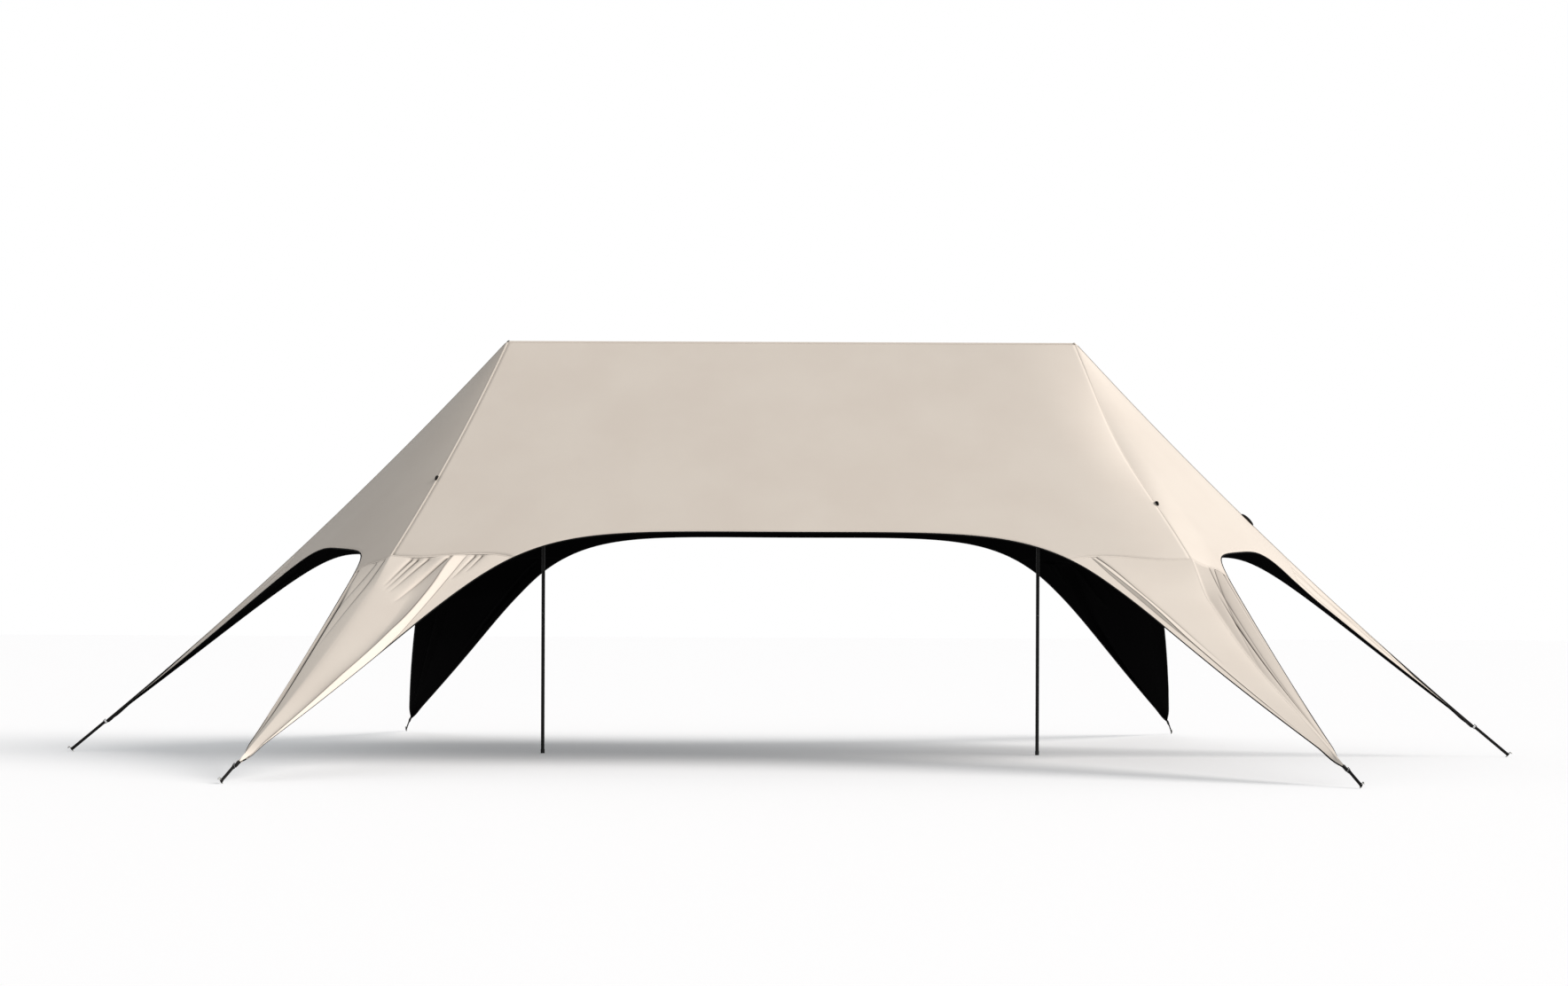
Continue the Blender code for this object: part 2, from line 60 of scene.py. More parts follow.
class Finish:
    """A material while it is made: its nodes are added one by one, and the shader is fed last."""

    def __init__(self, name):
        self.material = bpy.data.materials.new(name)
        self.material.use_nodes = True
        self.tree = self.material.node_tree

    def feed(self, node, inputs):
        """Gives each input of a node a value, or what another node puts out."""
        for name, value in inputs.items():
            if isinstance(value, bpy.types.NodeSocket):
                self.tree.links.new(value, node.inputs[name])
            else:
                node.inputs[name].default_value = value

    def add(self, kind, inputs, **settings):
        """A new node's outputs, once it has its settings and its inputs."""
        node = self.tree.nodes.new(f"ShaderNode{kind}")
        for name, value in settings.items():
            setattr(node, name, value)
        self.feed(node, inputs)
        return node.outputs

    def noise(self, scale, detail):
        """Noise over the piece's own coordinates."""
        place = self.add("TexCoord", {})["Object"]
        return self.add("TexNoise", {"Vector": place, "Scale": scale, "Detail": detail})["Fac"]

    def wave(self, direction, scale, distortion):
        """Waves in a direction of the piece's own map."""
        inputs = {"Vector": self.add("TexCoord", {})["UV"], "Scale": scale, "Distortion": distortion}
        return self.add("TexWave", inputs, bands_direction=direction)["Fac"]

    def ramp(self, source, dark, light, start=0.0, end=1.0):
        """A colour from dark to light, over the span of what drives it from start to end."""
        node = self.tree.nodes.new("ShaderNodeValToRGB")
        first, last = node.color_ramp.elements
        first.position, last.position = start, end
        first.color, last.color = (*dark, 1), (*light, 1)
        self.feed(node, {"Fac": source})
        return node.outputs["Color"]

    def relief(self, height, strength, distance):
        """A normal that leans with a height, for a strength and a distance in metres."""
        return self.add("Bump", {"Height": height, "Strength": strength, "Distance": distance})["Normal"]

    def shaded(self, inputs):
        """The finished material, once the shader has its inputs."""
        self.feed(self.tree.nodes["Principled BSDF"], inputs)
        return self.material


def powder_coat():
    """Black paint with a fine orange-peel bump and a few worn, slightly paler patches."""
    coat = Finish("black_powder_coat")
    worn = coat.ramp(coat.noise(9, 6), (0.0035, 0.0032, 0.0029), (0.0130, 0.0124, 0.0118), 0.45, 0.85)
    peel = coat.relief(coat.noise(900, 2), 0.12, 0.0003)
    return coat.shaded({"Base Color": worn, "Normal": peel, "Roughness": 0.5, "Specular IOR Level": 0.25})


def grained(name, colour, roughness, grain, specular=0.5, metallic=0.0):
    """One colour, made darker and lighter by a fine grain that is in the bump too."""
    finish = Finish(name)
    fine = finish.noise(grain, 4)
    dark, light = ([c * share for c in colour] for share in (0.75, 1.35))
    return finish.shaded(
        {
            "Base Color": finish.ramp(fine, dark, light),
            "Normal": finish.relief(fine, 0.2, 0.0004),
            "Roughness": roughness,
            "Specular IOR Level": specular,
            "Metallic": metallic,
        }
    )


def piece(name, points, faces, *materials, sharp=35):
    """A new object at the origin from points and faces, smooth but for edges sharper than an angle."""
    mesh = bpy.data.meshes.new(name)
    mesh.from_pydata(np.asarray(points, float).reshape(-1, 3).tolist(), [], faces)
    mesh.shade_smooth()
    mesh.set_sharp_from_angle(angle=math.radians(sharp))
    for material in materials:
        mesh.materials.append(material)
    obj = bpy.data.objects.new(name, mesh)
    bpy.context.scene.collection.objects.link(obj)
    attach(obj, "root")
    return obj


def unit(v):
    """The vectors along the last axis, at length one."""
    return v / np.maximum(np.linalg.norm(v, axis=-1, keepdims=True), 1e-12)


def rings(grid):
    """Points and faces of a closed skin over rows of rings, with both ends capped.

    Ring k + 1 follows ring k, and each ring runs anticlockwise seen against the way they go.
    """
    rows, sides = grid.shape[:2]
    index = np.arange(rows * sides).reshape(rows, sides)
    ahead = np.roll(index, -1, axis=1)
    wall = np.stack([index[:-1], ahead[:-1], ahead[1:], index[1:]], axis=-1).reshape(-1, 4)
    return grid, [*wall.tolist(), index[0, ::-1].tolist(), index[-1].tolist()]


def turned(profile, origin, axis):
    """A profile of (radius, height) turned round an axis: origin + height * axis + radius * spoke.

    The first spoke is square to the axis and to a slanting line that no axis here lies along.
    """
    profile = np.asarray(profile, float)
    axis = unit(np.asarray(axis, float))
    side = unit(np.cross(axis, (0.3, 0.9, 0.2)))
    turn = np.linspace(0, 2 * math.pi, ROUND, endpoint=False)[:, None]
    spoke = np.cos(turn) * side + np.sin(turn) * np.cross(axis, side)
    radius, height = profile[:, 0, None, None], profile[:, 1, None, None]
    return rings(np.asarray(origin) + height * axis + radius * spoke[None])


def joined(*parts):
    """One list of points and one of faces from several."""
    points, faces, count = [], [], 0
    for some, loops in parts:
        some = np.asarray(some, float).reshape(-1, 3)
        points.append(some)
        faces += [[k + count for k in loop] for loop in loops]
        count += len(some)
    return np.concatenate(points), faces


def joint_groove(joint):
    """Profile points of the shallow groove that shows where one tube plugs into the next."""
    return [
        (TUBE, joint - 0.0016),
        (TUBE - 0.0010, joint - 0.0006),
        (TUBE - 0.0010, joint + 0.0002),
        (TUBE, joint + 0.0010),
    ]


black_paint = powder_coat()
rubber = grained("black_rubber", (0.014, 0.014, 0.014), 0.85, 300)
zinc = grained("zinc_plate", (0.42, 0.42, 0.40), 0.38, 220, metallic=1.0)

for side, x in (("left", -UPRIGHT_X), ("right", UPRIGHT_X)):
    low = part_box(f"{side}_upright_lower")[0].z
    joints = [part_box(f"{side}_upright_{k}")[0].z for k in ("middle", "upper")]
    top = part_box("ridge_pole_middle")[0].z - BELOW_RIDGE
    profile = [(TUBE - 0.001, low), (TUBE, low + 0.001)]
    for joint in joints:
        profile += joint_groove(joint)
    profile += [(TUBE, top - 0.0008), (TUBE - 0.0008, top)]
    pin = [(0.0045, top - 0.002), (0.0045, top + 0.018), (0.003, top + 0.0198)]
    pole = piece(
        f"{side}_upright",
        *joined(turned(profile, (x, 0, 0), (0, 0, 1)), turned(pin, (x, 0, 0), (0, 0, 1))),
        black_paint,
    )
    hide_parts(*[f"{side}_upright_{k}" for k in ("lower", "middle", "upper")])
    dome = [(0.0032, -0.001), (0.0032, 0.0012), (0.0024, 0.0022), (0.0010, 0.0027)]
    buttons = [turned(dome, (x, -TUBE, joint + BUTTON_ABOVE_JOINT), (0, -1, 0)) for joint in joints]
    button = piece(f"{side}_spring_buttons", *joined(*buttons), zinc)
    foot = [
        (FOOT - 0.0030, 0.0),
        (FOOT - 0.0008, 0.0010),
        (FOOT, 0.0030),
        (FOOT, 0.0120),
        (FOOT - 0.0006, 0.0130),
        (FOOT - 0.0006, 0.0150),
        (FOOT, 0.0160),
        (FOOT, 0.0335),
        (FOOT - 0.0006, 0.0346),
        (FOOT - 0.0016, 0.0350),
    ]
    boot = piece(f"{side}_rubber_foot", *turned(foot, (x, 0, 0), (0, 0, 1)), rubber)
    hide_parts(f"{side}_foot")

# RIDGE POLE: three more of the same tubes laid end to end on the uprights' pins, closed at each end
# by a moulded plug. It lies just under the fabric and carries the ridge.
black_plastic = grained("black_plastic", (0.016, 0.016, 0.016), 0.5, 700)
ridge_low, ridge_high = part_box("ridge_pole_middle")
pole_height = (ridge_low.z + ridge_high.z) / 2
ridge_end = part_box("ridge_pole_right")[1].x
profile = [(TUBE - 0.0008, -ridge_end), (TUBE, -ridge_end + 0.0008)]
for joint in (ridge_low.x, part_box("ridge_pole_right")[0].x):
    profile += joint_groove(joint)
profile += [(TUBE, ridge_end - 0.0008), (TUBE - 0.0008, ridge_end)]
pole = piece("ridge_pole", *turned(profile, (0, 0, pole_height), (1, 0, 0)), black_paint)
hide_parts(*[f"ridge_pole_{k}" for k in ("left", "middle", "right")])
for side, sign in (("left", -1), ("right", 1)):
    plug = [
        (0.0120, -0.0100),
        (0.0120, 0.0003),
        (TUBE, 0.0003),
        (TUBE, 0.0022),
        (TUBE - 0.0012, 0.0036),
        (0.0080, 0.0043),
    ]
    cap = piece(
        f"{side}_ridge_plug",
        *turned(plug, (sign * ridge_end, 0, pole_height), (sign, 0, 0)),
        black_plastic,
    )
    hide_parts(f"ridge_cap_{side}")

# CANOPY: coated polyester, beige outside and black underneath, cut in six panels. Two large ones hang
# from the ridge and two pairs of gores close the ends. Each panel is sewn to the next along a hip seam
# that sags a little between its peak and the tip of the leg below it.
RIDGE_HEIGHT = 3.50
PEAK_X = 2.41
STRAP_HEIGHT = 0.020
CORNER_X, CORNER_Y = 3.89, 3.64
SIDE_X = 6.10
FRONT_CROWN, BACK_CROWN, GORE_CROWN = 0.475, 0.450, 0.520
MAIN_ARCH = (0.585, 0.547, 1.11)
LEG_START = 0.51
LEG_EDGE = 0.24
CLOTH = 0.0016
UP = np.array([0.0, 0.0, 1.0])
# Where slackness, limpness and droop start, are full, fade and end, as shares of the way down, and how
# many metres they reach from the hip.
SLACK_RUN = (0.0, 0.22, 0.22, 0.46)
SLACK_REACH = 0.50
LIMP_RUN = (LEG_START - 0.01, LEG_START + 0.08, 0.67, 0.97)
LIMP_REACH = 1.0
LIMP_REACH_GORE = 0.36
DROOP_RUN = (0.49, 0.64, 0.72, 0.97)
DROOP_REACH = 0.40
# How much of its slackness or limpness rounds a hip.
SLACK_ROUNDING = 0.6
LIMP_ROUNDING = 0.3
# The last stretch of a leg, where it is folded together, in shares of the way down, and how far its two
# halves then stand apart for each metre that they hang.
FOLD_START = 0.05
FOLD_RUN = 0.04
FOLD_APART = 0.12


def eased(share):
    """A share that leaves 0 and reaches 1 gently: three times its square less twice its cube."""
    return share**2 * (3 - 2 * share)


def hump(x, start, full, fading, end):
    """Rises from 0 at start to 1 at full, and falls from fading to 0 at end, eased."""
    rising = np.clip((x - start) / (full - start), 0, 1)
    return eased(rising * np.clip((end - x) / (end - fading), 0, 1))


class Leg:
    """Where a leg goes: its peak, its peg, and the tip that its two edges run towards.

    before and after are the two panels that meet along its hip, which each set themselves.
    """

    def __init__(self, name, side, peg, to_tip, sag, arch, end, slack=0.0, limp=0.0, droop=0.0):
        self.name, self.arch, self.end = name, arch, end
        self.slack, self.limp, self.droop = slack, limp, droop
        self.peak = np.array([side * PEAK_X, 0.0, RIDGE_HEIGHT])
        self.eye = np.array([*peg, STRAP_HEIGHT])
        chord = unit(self.peak - self.eye)
        self.sag = -sag * unit(UP - chord * chord[2])
        self.along = unit(self.peak - self.eye + 4 * self.sag)
        self.tip = self.eye + self.along * to_tip
        self.level = unit(np.cross(UP, self.along))
        self.rise = np.cross(self.along, self.level)
        self.last = LEG_START + end * (1 - LEG_START)

    def hip(self, v):
        """The straight line from peak to tip, plus a parabola of sag."""
        v = np.asarray(v, float)[..., None]
        return self.peak + (self.tip - self.peak) * v + 4 * v * (1 - v) * self.sag


class Panel:
    """The fabric between two hips. u runs between them and v from the ridge or peak to the archway."""

    def __init__(self, name, left, right, crown):
        self.name, self.left, self.right = name, left, right
        left.after = right.before = self
        self.is_gore = left.peak[0] == right.peak[0]
        self.arches = np.array([left.arch, right.arch] if self.is_gore else [MAIN_ARCH] * 2)
        top = (left.peak + right.peak) / 2
        self.middle = (left.tip + right.tip) / 2
        self.crown = top + crown * (self.middle - top)

    def flat_edge(self, u):
        """The archway's edge before it sags: two cubic curves that meet level at the crown."""
        u = np.asarray(u, float)[..., None]
        t = 1 - np.abs(2 * u - 1)
        tip = np.where(u < 0.5, self.left.tip, self.right.tip)
        half, rise = tip - self.middle, self.crown - self.middle
        arch = np.where(u < 0.5, *self.arches)
        beside, outer, height = arch[..., 0:1], arch[..., 1:2], arch[..., 2:3]
        low = self.middle + outer * half + height * rise
        high = self.crown + beside * half
        return (1 - t) ** 3 * tip + 3 * (1 - t) ** 2 * t * low + 3 * (1 - t) * t**2 * high + t**3 * self.crown

    def point(self, u, v):
        """Straight lines down to the edge, sagging by a parabola of the share of the way down.

        The sag falls off by the square of the share of the way across, from each hip to the other.
        The front half of a drooping leg sinks in proportion to its distance from the hip. A slack or
        limp hip is rounded: the drop from its line becomes the root of the drop squared plus a
        constant squared. The panel beside a slack hip also gives way, by the square of its nearness
        to the hip, and a limp leg by its nearness. Over its last stretch a leg is folded together
        until both halves hang down.
        """
        u, v = np.broadcast_arrays(np.asarray(u, float), np.asarray(v, float))
        edge = self.flat_edge(u)
        u, v = u[..., None], v[..., None]
        top = self.left.peak + (self.right.peak - self.left.peak) * u
        tips = self.left.tip + (self.right.tip - self.left.tip) * u
        flat = (1 - v) * top + v * edge
        down = (RIDGE_HEIGHT - flat[..., 2:]) / (RIDGE_HEIGHT - tips[..., 2:])
        start = self.left.peak + (self.left.tip - self.left.peak) * down
        span = self.right.peak + (self.right.tip - self.right.peak) * down - start
        square = np.maximum((span * span).sum(-1, keepdims=True), 1e-12)
        width = np.sqrt(square)
        across = np.clip(((flat - start) * span).sum(-1, keepdims=True) / square, 0, 1)
        sag = (1 - across) ** 2 * self.left.sag + across**2 * self.right.sag
        point = flat + 4 * down * (1 - down) * sag
        slack, limp, droop = (hump(down, *run) for run in (SLACK_RUN, LIMP_RUN, DROOP_RUN))
        from_hip = np.clip((1 - across) * width / DROOP_REACH, 0, 1)
        point = point - self.right.droop * droop * from_hip * np.clip(5 * across - 2.5, 0, 1) * UP
        remaining = np.clip((1 - down) / (1 - LEG_START), 0.02, 1)
        limp_reach = (LIMP_REACH_GORE if self.is_gore else LIMP_REACH) * remaining**0.6
        for leg, share in ((self.left, across), (self.right, 1 - across)):
            drop = np.minimum((point - leg.hip(down[..., 0])) @ leg.rise, 0)[..., None]
            constant = SLACK_ROUNDING * leg.slack * slack + LIMP_ROUNDING * leg.limp * limp
            point = point - (np.hypot(drop, constant) + drop) * (1 - share) * leg.rise
            near = np.clip(1 - share * width / SLACK_REACH, 0, 1) * (1 - share)
            point = point + leg.slack * slack * near**2 * unit(leg.sag)
            near = np.clip(1 - share * width / limp_reach, 0, 1)
            point = point + leg.limp * limp * near * unit(leg.sag)
            folded = np.clip((down - leg.last + FOLD_START) / FOLD_RUN, 0, 1) ** 2 * (share < 0.5)
            beside = point - leg.hip(down[..., 0])
            beside = beside - (beside @ leg.along)[..., None] * leg.along
            level = unit(beside - (beside @ leg.rise)[..., None] * leg.rise)
            turn = unit((1 - folded) * unit(beside) + folded * (FOLD_APART * level - leg.rise))
            point = point + turn * np.linalg.norm(beside, axis=-1, keepdims=True) - beside
        return point

    def normal(self, u, v):
        """The outward normal, from small steps along u and v."""
        step = 1e-3
        u, v = np.broadcast_arrays(np.asarray(u, float), np.maximum(v, 5 * step))
        across = self.point(np.minimum(u + step, 1), v) - self.point(np.maximum(u - step, 0), v)
        down = self.point(u, np.minimum(v + step, 1)) - self.point(u, v - step)
        return unit(np.cross(down, across))


# From a peg's eye to the tip of its leg, the sag of the hip, the gore's arch beside it, and the share of
# the leg's length that is cloth.
at_corner = (0.15, 0.19, (0.50, 0.12, 1.09), 0.985)
at_side = (0.23, 0.08, (0.33, 0.38, 1.00), 0.935)
legs = [
    Leg("front_left", -1, (-CORNER_X, -CORNER_Y), *at_corner, limp=0.026),
    Leg("front_right", 1, (CORNER_X, -CORNER_Y), *at_corner, slack=0.045, limp=0.067),
    Leg("right", 1, (SIDE_X, 0.0), *at_side, droop=0.075),
    Leg("back_right", 1, (CORNER_X, CORNER_Y), *at_corner, slack=0.045, limp=0.038),
    Leg("back_left", -1, (-CORNER_X, CORNER_Y), *at_corner, limp=0.067),
    Leg("left", -1, (-SIDE_X, 0.0), *at_side),
]
panels = [
    Panel("front_panel", legs[0], legs[1], FRONT_CROWN),
    Panel("right_front_gore", legs[1], legs[2], GORE_CROWN),
    Panel("right_back_gore", legs[2], legs[3], GORE_CROWN),
    Panel("back_panel", legs[3], legs[4], BACK_CROWN),
    Panel("left_back_gore", legs[4], legs[5], GORE_CROWN),
    Panel("left_front_gore", legs[5], legs[0], GORE_CROWN),
]


def polyester():
    """Beige coated polyester: plain weave in the bump, faint clouding, and painted shade in the creases."""
    fabric = Finish("beige_polyester")
    clouded = fabric.ramp(fabric.noise(1.6, 3), (0.780, 0.697, 0.609), (0.807, 0.728, 0.638), 0.36, 0.66)
    # Painted shade: each point's share mixes the cloth towards a dark brown, in creases and on panels turned
    # from the light.
    crease = fabric.add("Attribute", {}, attribute_name="crease")["Fac"]
    inputs = {"A": clouded, "B": (0.028, 0.021, 0.017, 1), "Factor": crease}
    warp, weft = (fabric.wave(direction, 260, 0.4) for direction in ("X", "Y"))
    weave = fabric.add("Math", {0: warp, 1: weft}, operation="MULTIPLY")["Value"]
    return fabric.shaded(
        {
            "Base Color": fabric.add("Mix", inputs, data_type="RGBA")["Result"],
            "Normal": fabric.relief(weave, 0.10, 0.0004),
            "Roughness": 0.72,
            "Sheen Weight": 0.08,
            "Sheen Roughness": 0.4,
            "Specular IOR Level": 0.25,
        }
    )


beige = polyester()
coating = grained("black_coating", (0.0006, 0.0005, 0.0006), 0.9, 120, specular=0.02)


def lengths(grid, axis):
    """Distance run along an axis of a grid of points, from its first row or column."""
    steps = np.linalg.norm(np.diff(grid, axis=axis), axis=-1)
    zero = np.zeros_like(np.take(steps, [0], axis=axis))
    return np.concatenate([zero, np.cumsum(steps, axis=axis)], axis=axis)


def unrolled(grid):
    """Metres along the row and down the column at each point of a grid, for the weave's map."""
    return np.stack([lengths(grid, 1), lengths(grid, 0)], axis=-1)


def weave_map(obj, metres):
    """The map that the weave follows, from metres along and across at each point."""
    corner = np.zeros(len(obj.data.loops), int)
    obj.data.loops.foreach_get("vertex_index", corner)
    layer = obj.data.uv_layers.new(name="weave")
    layer.data.foreach_set("uv", np.asarray(metres).reshape(-1, 2)[corner].ravel())


def paint_shade(obj, share):
    """Keeps a share of painted shade at each point, which darkens the fabric's colour."""
    share = np.broadcast_to(share, len(obj.data.vertices)).copy()
    obj.data.attributes.new("crease", "FLOAT", "POINT").data.foreach_set("value", share)


def cloth(name, grid, shade, apex=False):
    """Fabric over a grid of points, rows running down: beige outside, black inside.

    With apex the first row is one point. The weave's map runs in metres from the middle column.
    """
    rows, columns = grid.shape[:2]
    index = np.arange(rows * columns).reshape(rows, columns)
    keep = np.arange(rows * columns)
    if apex:
        index[0] = 0
        index[1:] -= columns - 1
        keep = np.r_[0, columns : rows * columns]
    a, b, c, d = index[:-1, :-1], index[1:, :-1], index[1:, 1:], index[:-1, 1:]
    faces = np.stack([a, b, c, d], axis=-1).reshape(-1, 4).tolist()
    faces = [f if f[0] != f[3] else f[:3] for f in faces]
    obj = piece(name, grid.reshape(-1, 3)[keep], faces, beige, coating, sharp=60)
    metres = unrolled(grid)
    metres[..., 0] -= metres[:, -1:, 0] / 2
    weave_map(obj, metres.reshape(-1, 2)[keep])
    # Painted shade: a share at each point that darkens the cloth.
    paint_shade(obj, shade.ravel()[keep])
    thick = obj.modifiers.new("cloth", "SOLIDIFY")
    thick.thickness = CLOTH
    thick.offset = -1
    thick.material_offset = thick.material_offset_rim = 1
    return obj


PANEL_ROWS = 60
SIDE_COLUMNS = 30
MIDDLE_COLUMNS = 90
MIDDLE_COLUMNS_GORE = 40


def panel_grid(panel):
    """Shares across and down for the part of a panel above the seams where its legs are sewn on."""
    side = np.linspace(0, LEG_EDGE, SIDE_COLUMNS + 1)
    columns = MIDDLE_COLUMNS_GORE if panel.is_gore else MIDDLE_COLUMNS
    middle = np.linspace(LEG_EDGE, 1 - LEG_EDGE, columns + 1)[1:-1]
    u = np.concatenate([side, middle, 1 - side[::-1]])
    depth = np.minimum(1, LEG_START + (1 - LEG_START) * np.minimum(u, 1 - u) / LEG_EDGE)
    v = np.linspace(0, 1, PANEL_ROWS + 1)[:, None] * depth
    return np.broadcast_to(u, v.shape), v


# Painted shade gives each panel its tone, most on the left gores that face away from the light, and it was
# chosen, as was the painted light that makes the cloth paler beside the slack hips of the right. Each share
# goes by the first word of the panel's name.
PANEL_SHADE = {"front": 0.186, "right": 0.163, "back": 0.186, "left": 0.234}
PAINTED_LIGHT = 0.12
PAINTED_LIGHT_GORE = 0.07
PAINTED_LIGHT_REACH = 0.40

for panel in panels:
    grid = panel.point(*panel_grid(panel))
    shade = np.full(grid.shape[:2], PANEL_SHADE[panel.name.split("_")[0]])
    away = lengths(grid, 1)
    for leg, distance in ((panel.left, away), (panel.right, away[:, -1:] - away)):
        if leg.slack:
            # Painted light: less painted shade near the slack hips of the right.
            shade -= (PAINTED_LIGHT_GORE if panel.is_gore else PAINTED_LIGHT) * np.exp(-((distance / PAINTED_LIGHT_REACH) ** 2))
    obj = cloth(f"{panel.name}_cloth", grid, shade, apex=panel.is_gore)
    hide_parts(panel.name)

# LEGS: each is one tapered piece folded over the hip, sewn to the canopy along a level cross seam.
# Its gathers start at that seam, and longer pleats run down to the tip, where they are drawn together.
LEG_ROWS = 130
LEG_COLUMNS = 240
LEG_COLUMNS_GORE = 100
# Painted shade over all the legs' cloth.
LEG_SHADE = 0.119
# In what follows s is the share of the way down a leg from its cross seam, and t the share of the way
# across each half from the hip to the free edge. A fold has a lift in metres and a dark
# line of painted shade.
GATHER_SHADE_LINE = 0.0070
FOOT_SHADE_LINE = 0.0040


def course(s, *stations):
    """t at each s, along straight lines between stations of (s, t), rounded by a short average."""
    at, to = zip(*stations)
    return sum(np.interp(s + d, at, to) for d in (-0.04, -0.02, 0, 0.02, 0.04)) / 5


def gathers(t, s, width, valleys):
    """Pinched valleys below the cross seam, steep towards the hip and gentle beyond, with painted shade along
    each.

    Each is (t at the seam, t at its end, length, depth, steep side, gentle side), the first three as
    shares and the others in metres, and it fades out along its length.
    """
    lift, line = np.zeros_like(t), np.zeros_like(t)
    for start, end, length, depth, steep, gentle in valleys:
        away = (t - start - (end - start) * s / length) * width
        fade = np.clip(s / 0.012, 0, 1) * np.clip(1 - s / length, 0, 1) ** 0.6
        lift -= depth * fade * np.exp(-np.abs(away) / np.where(away < 0, steep, gentle))
        # A dark line of painted shade along the bottom of each valley.
        line = np.maximum(line, fade * np.exp(-((away / GATHER_SHADE_LINE) ** 2)))
    return lift, line


def pleat(t, s, width, crest, foot, rise, slope, end, shade_width):
    """One long pleat: it rises gently to a crest and falls steeply to its foot.

    crest and foot are t at each s; rise is the gentle side's width in t; slope is the steep side's
    height for its width. A dark line of painted shade runs along the crest and a finer one along the foot.
    """
    height = np.clip((foot - crest) * width * slope, 0, 0.050)
    up = np.clip((t - crest + rise) / rise, 0, 1) ** 1.6
    down = np.clip((foot - t) / np.maximum(foot - crest, 1e-4), 0, 1) ** 1.1
    fade = np.clip(s / 0.02, 0, 1) * np.clip((end - s) / 0.12, 0, 1)
    lift = height * fade * np.where(t < crest, up, down)
    # Painted shade along the crest and the foot.
    at_crest = np.exp(-((np.abs(t - crest) * width / shade_width) ** 2)) * np.clip(0.45 + 1.2 * s, 0, 1)
    at_foot = 0.7 * np.exp(-((np.abs(t - foot) * width / FOOT_SHADE_LINE) ** 2))
    return lift, fade * np.maximum(at_crest, at_foot)


def main_half(t, s, width, style):
    """Folds of the half that belongs to a large panel, in the two ways that they fall, and their lines of
    painted shade.
    """
    if style == "gathered":
        pinched = [
            (0.163, 0.080, 0.14, 0.018, 0.016, 0.040),
            (0.205, 0.110, 0.16, 0.019, 0.016, 0.040),
            (0.285, 0.160, 0.18, 0.018, 0.016, 0.040),
            (0.450, 0.290, 0.25, 0.036, 0.022, 0.070),
            (0.652, 0.690, 0.18, 0.018, 0.016, 0.035),
            (0.715, 0.765, 0.14, 0.015, 0.015, 0.030),
        ]
        crest = course(s, (0, 0.48), (0.1, 0.51), (0.3, 0.62), (0.45, 0.71), (0.6, 0.79), (0.9, 0.86))
        foot = course(s, (0, 0.575), (0.2, 0.65), (0.32, 0.72), (0.43, 0.80), (0.53, 0.91), (0.62, 1.0))
        more, edge = pleat(t, s, width, crest, foot, 0.20, 0.50, 1.05, 0.0075)
    else:
        pinched = [(0.750, 0.560, 0.58, 0.010, 0.018, 0.050)]
        crest = course(s, (0, 0.79), (0.12, 0.80), (0.28, 0.77), (0.45, 0.765), (0.6, 0.73), (0.9, 0.70))
        foot = crest + course(s, (0, 0.005), (0.15, 0.035), (0.3, 0.060), (0.42, 0.050), (0.5, 0.012))
        more, edge = pleat(t, s, width, crest, foot, 0.14, 0.45, 0.88, 0.0060)
    lift, line = gathers(t, s, width, pinched)
    return lift + more, np.maximum(line, edge)


def gore_half(t, s, width, style):
    """Folds of the half that belongs to a gore: one deep groove, and finer lines beside it.

    A pleated leg's cloth is darkened all over by painted shade, the groove and finer folds have lines of
    painted shade, and a plain leg's lines are fainter.
    """
    if style == "gathered":
        middle = course(s, (0.2, 0.78), (0.45, 0.75), (0.6, 0.70), (0.7, 0.63), (0.82, 0.50))
        depth, near, far, dark, painted_dulling = 0.018, 0.015, 0.030, 0.020, 0.0
        finer = [(0.30, 0.78, 0.34, 0.010, 0.012, 0.030), (0.10, 0.55, 0.50, 0.008, 0.010, 0.026)]
    else:
        middle, depth, near, far, dark = 0.26, 0.012, 0.012, 0.020, 0.0055
        painted_dulling = 0.24 * (style == "pleated") * np.clip(s / 0.01, 0, 1) * (1 - 0.5 * s)
        finer = [(0.60, 0.02, 0.52, 0.0100, 0.012, 0.030), (0.42, 0.30, 0.95, 0.0070, 0.010, 0.026)]
    fade = np.clip((s - 0.14) / 0.16, 0, 1) * np.clip((0.93 - s) / 0.15, 0, 1)
    away = (t - middle) * width
    lift = -depth * fade * np.exp(-np.abs(away) / np.where(away < 0, near, far))
    # A dark line of painted shade along the groove.
    line = fade * np.exp(-(((away - dark * 0.8) / dark) ** 2))
    finer.append((0.85, 0.80, 0.95, 0.0050, 0.010, 0.020))
    more, edge = gathers(t, s, width, finer)
    line = np.maximum(line, 0.8 * edge) * (0.4 if style == "plain" else 1.0)
    return lift + more, line + painted_dulling * (1 - line)


def leg_halves(leg, style):
    """Grids of points and their shares of painted shade for both halves, from the hip to the free edge."""
    s = np.linspace(0, 1, LEG_ROWS + 1)[:, None] ** 1.5 * leg.end
    halves = []
    for panel, flip in ((leg.before, True), (leg.after, False)):
        t = np.linspace(0, 1, (LEG_COLUMNS_GORE if panel.is_gore else LEG_COLUMNS) + 1)
        u = t * LEG_EDGE * (1 - s)
        v = (1 - t) * (LEG_START + s * (1 - LEG_START)) + t
        u = 1 - u if flip else u
        point = panel.point(u, v)
        width = lengths(point, 1)[:, -1:]
        folds = gore_half if panel.is_gore else main_half
        lift, line = folds(np.broadcast_to(t, v.shape), s * np.ones_like(t), width, style)
        hem = np.clip((1 - t) * width / 0.03, 0, 1)
        fold = np.clip(t * width / 0.02, 0, 1) * hem
        halves.append((point + panel.normal(u, v) * (lift * fold)[..., None], line * fold))
    return halves


